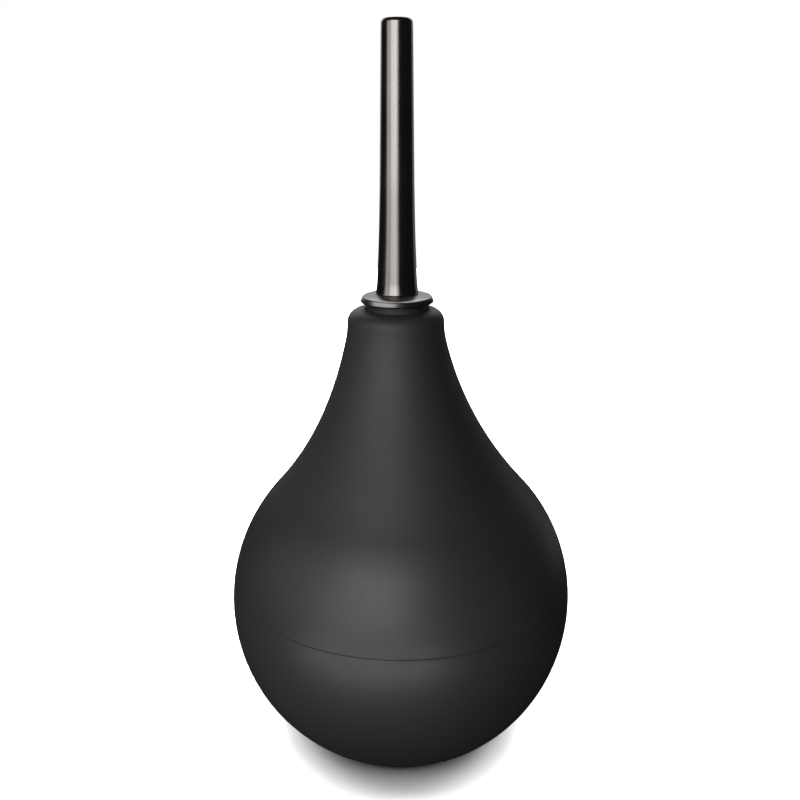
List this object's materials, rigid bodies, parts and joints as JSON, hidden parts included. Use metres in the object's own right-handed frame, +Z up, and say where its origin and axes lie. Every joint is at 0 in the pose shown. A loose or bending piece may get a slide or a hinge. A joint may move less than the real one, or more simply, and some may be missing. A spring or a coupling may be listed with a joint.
{
  "type": "dust blower bulb",
  "caption": "Hand-squeezed pear-shaped air bulb with a one-way inlet valve in its base and a screw-in tapered metal nozzle that puffs dust off small parts.",
  "frame": {"origin": "middle of the flat base, on the surface that the blower stands on", "axes": "+Z up along the blower's own axis, from the base through the neck to the nozzle's tip; the body is round, so X and Y are free"},
  "size_m": [0.08, 0.08, 0.1623],
  "materials": {
    "bulb_rubber": "matte, slightly silky black rubber",
    "nozzle_metal": "polished dark nickel plate",
    "bush_brass": "turned, unplated",
    "seal_rubber": "soft matte black rubber",
    "valve_plastic": "moulded, fine satin",
    "screen_steel": "bright woven wire"
  },
  "bodies": {
    "bulb": {"upper_shell": "bulb_rubber", "lower_shell": "bulb_rubber", "neck_bush": "bush_brass"},
    "seal": {"neck_seal": "seal_rubber"},
    "nozzle": {"nozzle_collar": "nozzle_metal", "nozzle_tube": "nozzle_metal"},
    "inlet_valve": {"valve_housing": "valve_plastic", "inlet_grille": "valve_plastic", "filter_screen": "screen_steel", "valve_cage": "valve_plastic"},
    "flap": {"valve_disc": "seal_rubber"}
  },
  "joints": [
    {"name": "squeeze", "type": "slide", "parent": "bulb", "child": "inlet_valve", "axis": [0, 0, 1], "range_m": [0, 0.03], "stiffness_N_per_m": 1000, "deforming": ["upper_shell", "lower_shell"]},
    {"name": "disc_lift", "type": "slide", "parent": "inlet_valve", "child": "flap", "axis": [0, 0, 1], "range_m": [0, 0.0012]},
    {"name": "nozzle_lift", "type": "slide", "parent": "bulb", "child": "seal", "axis": [0, 0, 1], "range_m": [0, 0.008]},
    {"name": "nozzle_turn", "type": "hinge", "parent": "seal", "child": "nozzle", "pos_m": [0, 0, 0.10445], "axis": [0, 0, 1], "range_deg": [0, 2880]}
  ],
  "couplings": [
    {"joint": "nozzle_turn", "follows": "nozzle_lift", "rad_per_m": 6283.2}
  ]
}
